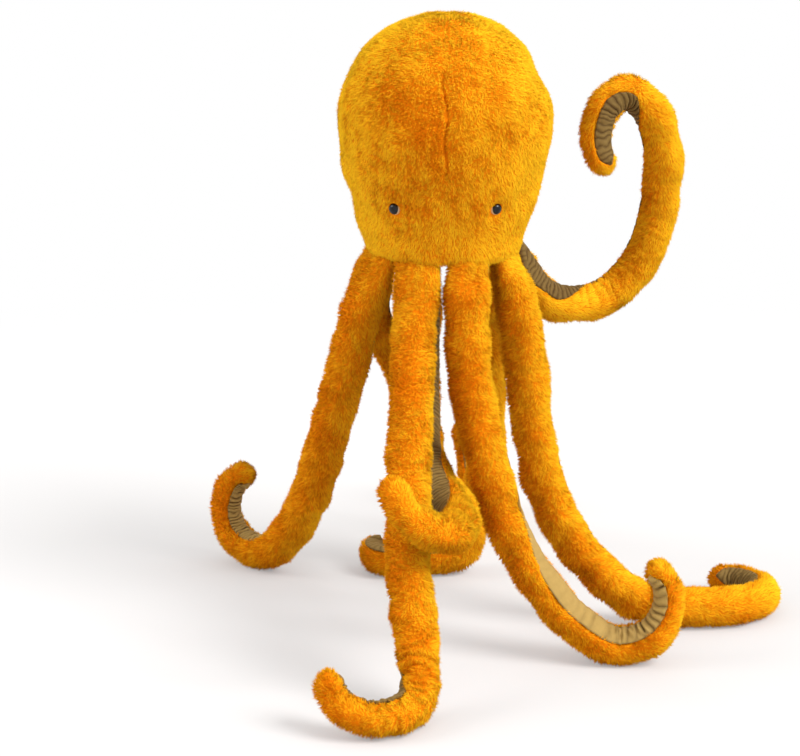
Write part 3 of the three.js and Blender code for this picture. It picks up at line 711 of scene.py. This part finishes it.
    def rolled(self, station):
        """How high the soft rolls stand at a station: they fade in and out at the table's shares
        of the length."""
        begun, full, fading, ended, amount = ROLLED.get(self.name, (0, 1, 2, 3, 0))
        share = station / self.length
        return amount * smooth(share, begun, full) * smooth(share, ended, fading)

    def normals(self, station, angle):
        """The skin's normals, which look along the arm at its tip."""
        last = self.length - PILE_DEPTH
        ahead = self.surface(np.minimum(station + 0.8, last), angle)
        behind = self.surface(np.minimum(station, last - 0.4) - 0.8, angle)
        left, right = (self.surface(station, angle + turn) for turn in (-0.03, 0.03))
        return surface_normals(left, right, behind, ahead, self.frame_at(station)[1])

    def skin(self, start, end):
        """The rings of the skin from one station to another, closer together in a tip."""
        rows, ring = max(8, int((end - start) / SKIN_STEP)), SKIN_SIDES
        share = np.linspace(0, 1, rows)
        if end > self.length - TIP_ROUND:
            rows = rows + 40
            along = np.linspace(0, TIP_SHARE, rows - TIP_ROWS, endpoint=False)
            closing = mix(TIP_SHARE, 1, np.sin(np.linspace(0, np.pi / 2, TIP_ROWS)))
            share = np.concatenate([along, closing])
        angle = np.linspace(0, 2 * np.pi, ring, endpoint=False) + np.pi / ring
        station, turn = np.meshgrid(mix(start, end, share), angle, indexing="ij")
        points = self.surface(station, turn).reshape(-1, 3)
        points[:, 2] = np.maximum(points[:, 2], GROUND)
        return (points, self.normals(station, turn).reshape(-1, 3)), (rows, ring)

    def feet(self, start, end, draw):
        """Where the strands stand, with the velvet's edge there: one in each cell of a grid,
        fewer where the arm is narrow and none under the velvet."""
        steps = np.linspace(start, end, 800)
        widths = self.width(steps)
        lengths = np.concatenate([[0], np.cumsum(np.hypot(np.diff(steps), np.diff(widths)))])
        rows = int(lengths[-1] / STRAND_SPACING)
        columns = int(2 * np.pi * (ARM_RADIUS - PILE_DEPTH) / STRAND_SPACING)
        row, column = grid_cells(rows, columns)
        spot = draw.uniform(size=(2, len(row)))
        station = np.interp((row + spot[0]) * lengths[-1] / rows, lengths, steps)
        angle = 2 * np.pi * (column + spot[1]) / columns - np.pi
        wide = self.width(station) / (ARM_RADIUS - PILE_DEPTH)
        edge = self.strip_angle(station)
        kept = (np.abs(angle) > edge - 0.04) & (draw.uniform(size=len(row)) < wide)
        return station[kept], angle[kept], edge[kept]

    def planted(self, start, end):
        """The strands of a stretch, brushed along the arm and away from the velvet's edge."""
        draw = np.random.default_rng(self.seed + round(start))
        station, angle, edge = self.feet(start, end, draw)
        foot = self.surface(station, angle)
        normal = self.normals(station, angle)
        tangent = self.frame_at(station)[1]
        laid = 0.43 + 0.12 * swell(foot, 60, self.seed) + 0.07 * swell(foot, 16, self.seed + 1)
        # Painted light and shade on the rolls: paler pile on their crests, and darker strands in
        # their creases below
        crest = self.rolled(station) * (self.roll(station, foot) - 0.5)
        laid = laid + SMOOTHED.get(self.name, 0) + 0.2 * crest
        # Painted light: pile on surfaces facing right and up is made paler, as well as flatter
        laid = np.clip(laid + normal @ FLAT_AND_LIT_FACING, 0, 1)
        back = np.pi * smooth(tangent[:, 2:], 0.1, 0.7) * BRUSHED_BACK.get(self.name, 0)
        nap = tangent * np.cos(back) + np.cross(normal, tangent) * np.sin(back)
        lie, shade = combed(foot, normal, nap, laid, self.seed, draw)
        # Painted shade in the rolls' creases
        shade = np.clip(mix(0.5, shade, 0.66) + 0.12 * np.minimum(crest, 0), 0, 1)
        near = smooth(np.abs(angle) - edge, 0.3, 0.0)[:, None]
        around = np.cross(tangent, normal) * np.sign(angle)[:, None]
        lie = unit(lie + around * near * 0.2)
        full = STRAND_LENGTH * mix(1, 0.72, near[:, 0])
        laid = laid * (1 - 0.35 * near[:, 0])
        return *strands(foot, normal, lie, full, draw), laid, shade

    def fur(self, name, start, end):
        """The fur of a stretch of the arm."""
        skin, rings = self.skin(start, end)
        return furred(name, skin, rings, self.planted(start, min(end, self.length - PILE_DEPTH)),
                      golden_fur)

    def gathers(self, station, share, squeeze):
        """How far the velvet is drawn together, more where the arm bends to its side, and its
        gathers' ridges and height: a power of a sine whose phase wanders."""
        spot = np.stack([station, share * 13, 0 * share], -1).reshape(-1, 3)
        pitch = WIDE_GATHERS.get(self.name, GATHER_PITCH)
        least = GATHERED.get(self.name, 0)

        def field(wavelength, seed):
            return swell(spot, wavelength, self.seed + seed).reshape(station.shape)

        gathered = np.maximum(smooth(squeeze, 0.02, 0.24), least)
        phase = station * np.pi / pitch + (field(7.5 * pitch, 5) + 0.45 * field(2.6 * pitch, 6))
        faded = np.maximum(mix(0.25, 1, smooth(field(4 * pitch, 8), 0.9, -0.5)), least)
        ridge = mix(0.85, np.abs(np.sin(phase)) ** 0.6, faded)
        drawn = 0.05 + (1.1 + 0.17 * pitch) * gathered
        return gathered, ridge, drawn * (ridge - 0.6 + field(7, 7) * 0.12)

    def strip(self, name, start, end):
        """The velvet of a stretch: a chord across the skin's flat, crowned and gathered."""
        rows = int((end - start) / STRIP_STEP)
        across = np.concatenate([np.linspace(-1, 1, STRIP_POINTS), np.linspace(1, -1, 5)[1:-1]])
        under = np.arange(len(across)) >= STRIP_POINTS
        station, share = np.meshgrid(np.linspace(start, end, rows), across, indexing="ij")
        middle, _, facing, side = self.frame_at(station)
        edge = self.strip_angle(station)
        full = self.width(station)
        chord = full * np.sin(edge)
        flat = ((self.surface(station, 0 * station) - middle) * facing).sum(-1)
        flat = np.minimum(flat, full * np.cos(edge) + 0.6)
        squeeze = (self.at(self.bend, station) * facing).sum(-1) * flat
        gathered, ridge, height = self.gathers(station, share, squeeze)
        crown = mix(0.8, STRIP_CROWN, smooth(full, 3, 16)) * (1 - share**2) + 0.5
        lift = np.where(under, -2.0, crown + height * (1 - 0.45 * share**4))
        points = middle + facing * (flat + lift)[..., None] + side * (chord * share)[..., None]
        points = points.reshape(-1, 3)
        points[:, 2] = np.maximum(points[:, 2], GROUND)
        faces = grid_faces(rows, len(across))
        # Painted shade and light in the fold mark: darker in the gathers' valleys and where the
        # velvet is gathered, lighter on the crests, and darker all over on the arms in the
        # painted-shade table
        fold = mix(0.95, ridge**1.5, 0.05 + 0.95 * gathered) * PAINTED_SHADE_VELVET.get(self.name, 1)
        fold = np.where(under, 0.0, fold)
        row, place = grid_places(faces, len(across))
        corners = np.stack([0.01 + 0.98 * row / (rows - 1), 0.02 + 0.96 * place / len(across)], -1)
        return add_piece(name, points, faces, olive_velvet, corners.reshape(-1, 2),
                         {"fold": np.clip(fold, 0, 1).ravel()})

    def make(self):
        """The arm's pieces: a short one over the root joint, and a long one over the curl."""
        upper, tip = f"{self.name}_upper", f"{self.name}_tip"
        for kind, made, slot in (("fur", self.fur, "fur"), ("velvet", self.strip, "velvet")):
            end = self.length - (PILE_DEPTH if kind == "fur" else TIP_ROUND * 0.5 + 0.5)
            short = made(f"{self.name}_root_{kind}", ROOT_START, ROOT_SPLIT)
            long = made(f"{self.name}_{kind}", ROOT_SPLIT, end)
            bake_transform(short)
            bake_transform(long)
            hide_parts(f"{upper}_{kind}")
            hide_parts(f"{upper}_{kind}", f"{tip}_{kind}")


for number, values in enumerate(ARMS):
    Sleeve(number, *values).make()


# The head

# The outline's rim, rolled under, as shares of the head's height and radius
HEAD_ROLLED = [(-0.021, 0.56), (-0.03, 0.62), (-0.024, 0.685)]
OUTLINE_STEPS = 400
PANEL_ROWS = 110
PANEL_COLUMNS = 42
PANEL_WALL = 4.0
UP = np.array([0, 0, 1.0])
HEAD_SEED = 400

# Where a hand brushed the pile up or down: place from the head's axis, reach and amount
BRUSHED = [((-26.0, -102.0, RIM_HEIGHT + 138), 26.0, -0.2)]


def head_line():
    """The head's outline as radius and height in even steps, rolled under at its rim."""
    shares = np.array(HEAD_ROLLED + HEAD_OUTLINE)
    points = np.stack([shares[:, 1] * HEAD_RADIUS, RIM_HEIGHT + shares[:, 0] * HEAD_HEIGHT], 1)
    mirrored = points[-2] * [-1, 1]
    line = route_curve(np.vstack([points, mirrored]))[:-SPAN_STEPS]
    return evenly(line, OUTLINE_STEPS + 1)


head_points, head_lengths = head_line()
HEAD_REACH = head_lengths[-1]
head_slope = unit(np.gradient(head_points, axis=0))


def eye_seat(sign):
    """The middle and the axis of an eye: on the panels, along the outline's normal."""
    height = RIM_HEIGHT + EYE_HEIGHT
    outline = np.array(HEAD_OUTLINE)
    shares = outline[:, 0] * HEAD_HEIGHT + RIM_HEIGHT
    radius = np.interp(height, shares, outline[:, 1]) * HEAD_RADIUS * math.cos(math.pi / HEAD_SIDES)
    turn = math.asin(EYE_SPACING / 2 / radius) * sign
    above = np.searchsorted(shares, height)
    tilt = math.atan2((outline[above, 1] - outline[above - 1, 1]) * HEAD_RADIUS,
                      shares[above] - shares[above - 1])
    out = outward(turn)
    axis = out * math.cos(tilt) - np.array([0, 0, math.sin(tilt)])
    return out * radius + AXIS + [0, 0, height], axis


EYES = {"left": eye_seat(-1), "right": eye_seat(1)}


# How far a seam strays to its sides, and how open it is, at each height
SEAM_HEIGHTS = np.linspace(RIM_HEIGHT - 10, RIM_HEIGHT + HEAD_HEIGHT + 5, 240)
seam_points = SEAM_HEIGHTS[:, None] * np.array([1.0, 0, 0])
SEAM_STRAYS = 0.9 * swell(seam_points, 46, 61) + 0.5 * swell(seam_points, 13, 62)
SEAM_DEPTHS = np.clip(0.7 + 0.3 * swell(seam_points, 22, 63), 0.2, 1)


def from_seam(turn, radius, height):
    """The distance to the nearest of the four straying seams, and the way to it round the head."""
    quarter = np.pi / 2
    turn = turn + np.interp(height, SEAM_HEIGHTS, SEAM_STRAYS) / np.maximum(radius, 20)
    gap = turn - np.round(turn / quarter) * quarter
    return np.abs(gap) * radius, np.sign(gap)


def seam_shows(height):
    """How far a seam shows through the pile: half-way up the head, and hardly above or below."""
    share = (height - RIM_HEIGHT) / HEAD_HEIGHT
    return smooth(share, 0.34, 0.44) * smooth(share, 0.84, 0.72)


def pile_lies(foot):
    """How flat the pile lies on the head: flat and pale at its sides and crown, low down and on its
    right side, and standing up in dark curls in front and behind, unevenly. The paleness at the
    sides, the crown and the right side is partly painted light: painted sheen at the sides and
    painted light from above and from the right."""
    off = foot - AXIS
    height = (off[:, 2] - RIM_HEIGHT) / HEAD_HEIGHT
    front = np.abs(off[:, 1]) / np.maximum(np.hypot(off[:, 0], off[:, 1]), 1)
    # Painted light: the pile is made paler at the sides, the crown and the right side
    laid = 0.5 + 0.42 * smooth(front, 0.93, 0.5) + 0.25 * smooth(height, 0.7, 0.9)
    laid = laid + 0.2 * smooth(height, 0.3, 0.05) + 0.1 * smooth(off[:, 0], 50, 88)
    laid = laid + 0.08 * smooth(off[:, 0], 0, 40) + 0.1 * smooth(height, 0.75, 0.9)
    laid = laid + 0.1 * swell(foot, 62, HEAD_SEED) + 0.11 * swell(foot, 18, HEAD_SEED + 1)
    for spot, size, amount in BRUSHED:
        laid = laid + amount * np.exp(-((off - spot) ** 2).sum(1) / size**2)
    return np.clip(laid, 0, 1)


def head_frame(length, turn):
    """The outline's radius and height at a length, the way out of it and the way up along it."""
    radius, height = (np.interp(length, head_lengths, column) for column in head_points.T)
    slope = read_off(head_lengths, head_slope, length)
    out = outward(turn)
    normal = out * slope[..., 1:] - UP * slope[..., :1]
    return radius, height, normal, out * slope[..., :1] + UP * slope[..., 1:]


def head_surface(length, turn):
    """A point of the head's skin: the outline turned about the axis, with a narrow groove in a
    wide hollow at each seam, dents round the eyes and soft lumps."""
    radius, height, normal, _ = head_frame(length, turn)
    point = outward(turn) * radius[..., None] + AXIS + UP * height[..., None]
    seam = from_seam(turn, radius, height)[0]
    shown = seam_shows(height) * np.interp(height, SEAM_HEIGHTS, SEAM_DEPTHS)
    drawn = mix(0.5, 3.4, shown) * np.exp(-((seam / 1.5) ** 2))
    drawn = drawn + 1.5 * np.exp(-((seam / 16) ** 2)) - 0.6
    flat = point.reshape(-1, 3)
    near = [((flat - eye[0]) ** 2).sum(1) for eye in EYES.values()]
    dent = sum(1.6 * np.exp(-gap / 8.5**2) for gap in near)
    level = 1 - sum(np.exp(-gap / 20.0**2) for gap in near)
    lumps = (1.3 * swell(flat, 75, 51) + 0.7 * swell(flat, 40, 52)) * level
    depth = PILE_DEPTH + drawn - (lumps - dent).reshape(drawn.shape)
    calm = smooth(radius, 0, 12)
    depth = mix(PILE_DEPTH + 1.0, depth, calm)
    return point - normal * depth[..., None]


def head_normals(length, turn):
    """The head's normals, which look upwards at the crown."""
    behind, ahead = (head_surface(np.clip(length + step, 0, HEAD_REACH), turn)
                     for step in (-1.0, 1.0))
    left, right = (head_surface(length, turn + step) for step in (-0.012, 0.012))
    return surface_normals(left, right, behind, ahead, UP)


def panel_skin(first):
    """A quarter turn of the head's skin, outside and inside. Its columns are closer together at
    the seams."""
    share = np.linspace(0, 1, PANEL_COLUMNS)
    turn = first + (share - 0.85 * np.sin(2 * np.pi * share) / (2 * np.pi)) * np.pi / 2
    length, around = np.meshgrid(np.linspace(0, HEAD_REACH, PANEL_ROWS), turn, indexing="ij")
    outer = head_surface(length, around)
    normal = head_normals(length, around)
    inner = outer - normal * PANEL_WALL
    points = np.concatenate([outer, inner[:, ::-1]], 1)
    normals = np.concatenate([normal, -normal[:, ::-1]], 1)
    return points.reshape(-1, 3), normals.reshape(-1, 3)


def panel_feet(first, draw):
    """Where a panel's strands stand: one in each cell of a grid, fewer where the head is narrow
    and none on an eye."""
    up = int(HEAD_REACH / STRAND_SPACING)
    round_count = int(np.pi / 2 * HEAD_RADIUS / STRAND_SPACING)
    row, column = grid_cells(up, round_count)
    spot = draw.uniform(size=(3, len(row)))
    length = (row + spot[0]) * HEAD_REACH / up
    around = first + np.pi / 2 * (column + spot[1]) / round_count
    radius = np.interp(length, head_lengths, head_points[:, 0])
    kept = spot[2] < radius / HEAD_RADIUS
    length, around, radius = length[kept], around[kept], radius[kept]
    foot = head_surface(length, around)
    normal = head_normals(length, around)
    nearest = np.min([np.linalg.norm(foot - eye[0], axis=1) for eye in EYES.values()], 0)
    kept = nearest > EYE_RADIUS + 0.4
    return (x[kept] for x in (length, around, radius, foot, normal, nearest))


def panel_strands(first, draw):
    """A panel's strands, brushed down the head, forwards at its crown, and away from the seams
    and the eye. Where a seam shows they are short and painted dark, as shade in its groove, and
    round the crown they are painted lighter, in place of the shade where the pile parts."""
    length, around, radius, foot, normal, nearest = panel_feet(first, draw)
    down = -head_frame(length, around)[3]
    down = mix(down, np.array([0, -1.0, 0]), smooth(radius, 40, 12)[:, None])
    seam, side = from_seam(around, radius, foot[:, 2])
    laid = pile_lies(foot)
    lie, shade = combed(foot, normal, down, laid, HEAD_SEED, draw)
    away = outward(around + np.pi / 2) * side[:, None]
    parted = smooth(seam, 4.5, 0.3)[:, None] * mix(0.25, 1, seam_shows(foot[:, 2]))[:, None]
    lie = lie + away * parted * 0.5
    eye = min(EYES.values(), key=lambda seat: np.linalg.norm(foot - seat[0], axis=1).min())
    cleared = smooth(nearest, EYE_RADIUS + 7, EYE_RADIUS)[:, None]
    lie = unit(lie + unit(beside(foot - eye[0], normal)) * cleared)
    close = smooth(seam, 2.2, 0.8) * seam_shows(foot[:, 2])
    trim = mix(1, 0.5, close) * mix(1, 0.62, cleared[:, 0])
    trim = trim * mix(1, 1.4, smooth(radius, 12, 4))
    # Painted shade: the strands by a showing seam are darker
    laid = laid * (1 - 0.8 * close)
    # Painted light: the strands round the crown are lighter, in place of the shade where the pile
    # parts
    crown = smooth(radius, 34, 16) * smooth(foot[:, 2], RIM_HEIGHT, ROOT_HEIGHT + 90)
    shade = mix(shade * (1 - close), 0.7, crown)
    return *strands(foot, normal, lie, STRAND_LENGTH * 0.9 * trim, draw), laid, shade


for number, place in enumerate(("front_left", "front_right", "rear_right", "rear_left")):
    first = (number - 1) * np.pi / 2
    planted = panel_strands(first, np.random.default_rng(HEAD_SEED + 20 * number))
    panel = furred(f"head_{place}_fur", panel_skin(first), (PANEL_ROWS, PANEL_COLUMNS * 2), planted,
                   golden_fur)
    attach(panel, "root")
    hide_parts(f"head_{place}_panel", "head_stuffing")


def turned(name, profile, centre, axis, sides, material, marks, raised=0.0):
    """A closed piece turned about an axis, from a profile of radii and heights. Its mark grows
    downwards by the raised share, and shrinks upwards."""
    across = unit(np.cross(axis, [0.0, 0.0, 1.0] if abs(axis[2]) < 0.9 else [0.0, 1.0, 0.0]))
    over = np.cross(axis, across)
    angle = np.linspace(0, 2 * np.pi, sides, endpoint=False)
    ways = across * np.cos(angle)[:, None] + over * np.sin(angle)[:, None]
    radius, height = np.array(profile).T
    points = centre + ways * radius[:, None, None] + (np.array(axis) * height[:, None])[:, None]
    faces = grid_faces(len(profile), sides)
    spread = np.repeat(marks[1], sides)
    spread = spread - raised * np.minimum(spread, 1) * np.tile(ways[:, 2], len(profile))
    row, place = grid_places(faces, sides)
    corners = np.stack([place / sides, row / (len(profile) - 1)], -1)
    return add_piece(name, points.reshape(-1, 3), faces, material,
                     (0.02 + 0.96 * corners).reshape(-1, 2), {marks[0]: spread})


# The eye's back, the edge of its dome and the dome's height, along its axis
EYE_BACK = -3.0
EYE_EDGE = -1.6
EYE_DOME = 5.0


def add_eye(side, seat):
    """A glass eye: a flat back, a short wall and a dome, with the distance from its middle."""
    centre, axis = seat
    dome = np.linspace(0, np.pi / 2, 22)
    radius = np.concatenate([[0.05, EYE_RADIUS * 0.9], EYE_RADIUS * np.cos(dome)])
    height = np.concatenate([[EYE_BACK] * 2, EYE_EDGE + EYE_DOME * np.sin(dome)])
    radius = np.maximum(radius, 0.02)
    reach = np.clip(radius / EYE_RADIUS, 0, 1)
    reach[:2] = 1
    piece = turned(f"{side}_glass_eye", np.stack([radius, height], 1), centre, axis, 40,
                   painted_glass, ("reach", reach), raised=0.2)
    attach(piece, "root")
    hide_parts(f"{side}_eye")


for side, seat in EYES.items():
    add_eye(side, seat)


def add_base():
    """The velvet base between the arms: a shallow closed dish."""
    steps, middle, reach = 16, 0.05, 61.0
    share = np.linspace(0, 1, steps)
    lower = np.stack([middle + reach * share, -2.6 * (1 - share**2) - 2.2], 1)
    upper = np.stack([(middle + reach) * share[::-1], np.full(steps, 0.4)], 1)
    upper[-1, 0] = middle
    profile = np.vstack([lower, upper])
    centre = AXIS + [0, 0, RIM_HEIGHT - 2.0]
    piece = turned("base_velvet", profile, centre, UP, 64, olive_velvet,
                   ("fold", np.full(len(profile), 0.5)))
    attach(piece, "root")
    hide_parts("base_panel")


add_base()

for name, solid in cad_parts.items():
    finish = (wire_cover if name.endswith("wire") else
              washer_plastic if name.endswith("washer") else stuffing_fibre)
    for slot in solid.material_slots:
        slot.material = finish


# The floor, the light and the camera


def add_floor():
    """A wide white floor, which is plain white far off so that it has no horizon."""
    material, tree, shader = new_material("white_floor", {
        "Roughness": 0.9, "Specular IOR Level": 0.0, "Base Color": colour(202, 200, 199)})
    half_width = 30000.0
    corner = np.array([[-1, -1, 0], [1, -1, 0], [1, 1, 0], [-1, 1, 0]], float) * half_width
    floor = add_piece("floor", corner, np.array([[0, 1, 2, 3]]), material)
    place = node(tree, "ShaderNodeTexCoord").outputs["Object"]
    far = node(tree, "ShaderNodeVectorMath", {0: place}, operation="LENGTH").outputs["Value"]
    share = node(tree, "ShaderNodeMapRange", {
        "Value": far, "From Min": 0.5, "From Max": 1.5, "To Min": 0.3},
        interpolation_type="SMOOTHSTEP").outputs[0]
    seen = node(tree, "ShaderNodeLightPath").outputs["Is Camera Ray"]
    glow = node(tree, "ShaderNodeEmission", {"Color": (1, 1, 1, 1), "Strength": 1.0})
    both = node(tree, "ShaderNodeMixShader", {
        0: worked(tree, "MULTIPLY", share, seen), 1: shader.outputs[0], 2: glow.outputs[0]})
    out = next(n for n in tree.nodes if n.type == "OUTPUT_MATERIAL")
    tree.links.new(both.outputs[0], out.inputs[0])


def add_world(strength):
    """Plain white light from all round, and white to the camera, to gloss and through glass."""
    world = bpy.data.worlds.new("studio")
    bpy.context.scene.world = world
    world.use_nodes = True
    tree = world.node_tree
    tree.nodes.clear()
    path = node(tree, "ShaderNodeLightPath").outputs
    seen = worked(tree, "MAXIMUM", path["Is Camera Ray"],
                  worked(tree, "MAXIMUM", path["Is Glossy Ray"], path["Is Transmission Ray"]))
    level = node(tree, "ShaderNodeMapRange", {"Value": seen, "To Min": strength, "To Max": 1.0})
    back = node(tree, "ShaderNodeBackground", {"Color": (1, 1, 1, 1), "Strength": level.outputs[0]})
    node(tree, "ShaderNodeOutputWorld", {0: back.outputs[0]})


def add_aimed(name, data, azimuth, elevation):
    """A lamp or a camera aimed from an azimuth, 0 in front and 90 at the right, and an elevation,
    and the way back from what it looks at."""
    made = bpy.data.objects.new(name, data)
    bpy.context.scene.collection.objects.link(made)
    rise = math.radians(elevation)
    back = Vector(outward(math.radians(azimuth)) * math.cos(rise) + UP * math.sin(rise))
    made.rotation_mode = "QUATERNION"
    made.rotation_quaternion = back.to_track_quat("Z", "Y")
    return made, back


def add_sun(name, strength, azimuth, elevation, spread):
    """A soft distant lamp."""
    light = bpy.data.lights.new(name, "SUN")
    light.energy = strength
    light.angle = math.radians(spread)
    add_aimed(name, light, azimuth, elevation)


def add_camera():
    """The photograph's view: a long lens from the front, a little above, aimed to the left of
    the head."""
    data = bpy.data.cameras.new("camera")
    data.sensor_width = 36
    data.lens = 114.7
    data.clip_end = 60
    camera, back = add_aimed("camera", data, 0, 15)
    camera.location = Vector((AXIS + [-44, 0, 248.6]) * MM) + back * 2.6
    bpy.context.scene.camera = camera


add_floor()
add_world(1.0)
add_sun("key_light", 3.25, 57, 42, 30)
add_sun("left_light", 1.2, -82, 32, 30)
add_camera()
bpy.context.scene.view_settings.view_transform = "Standard"
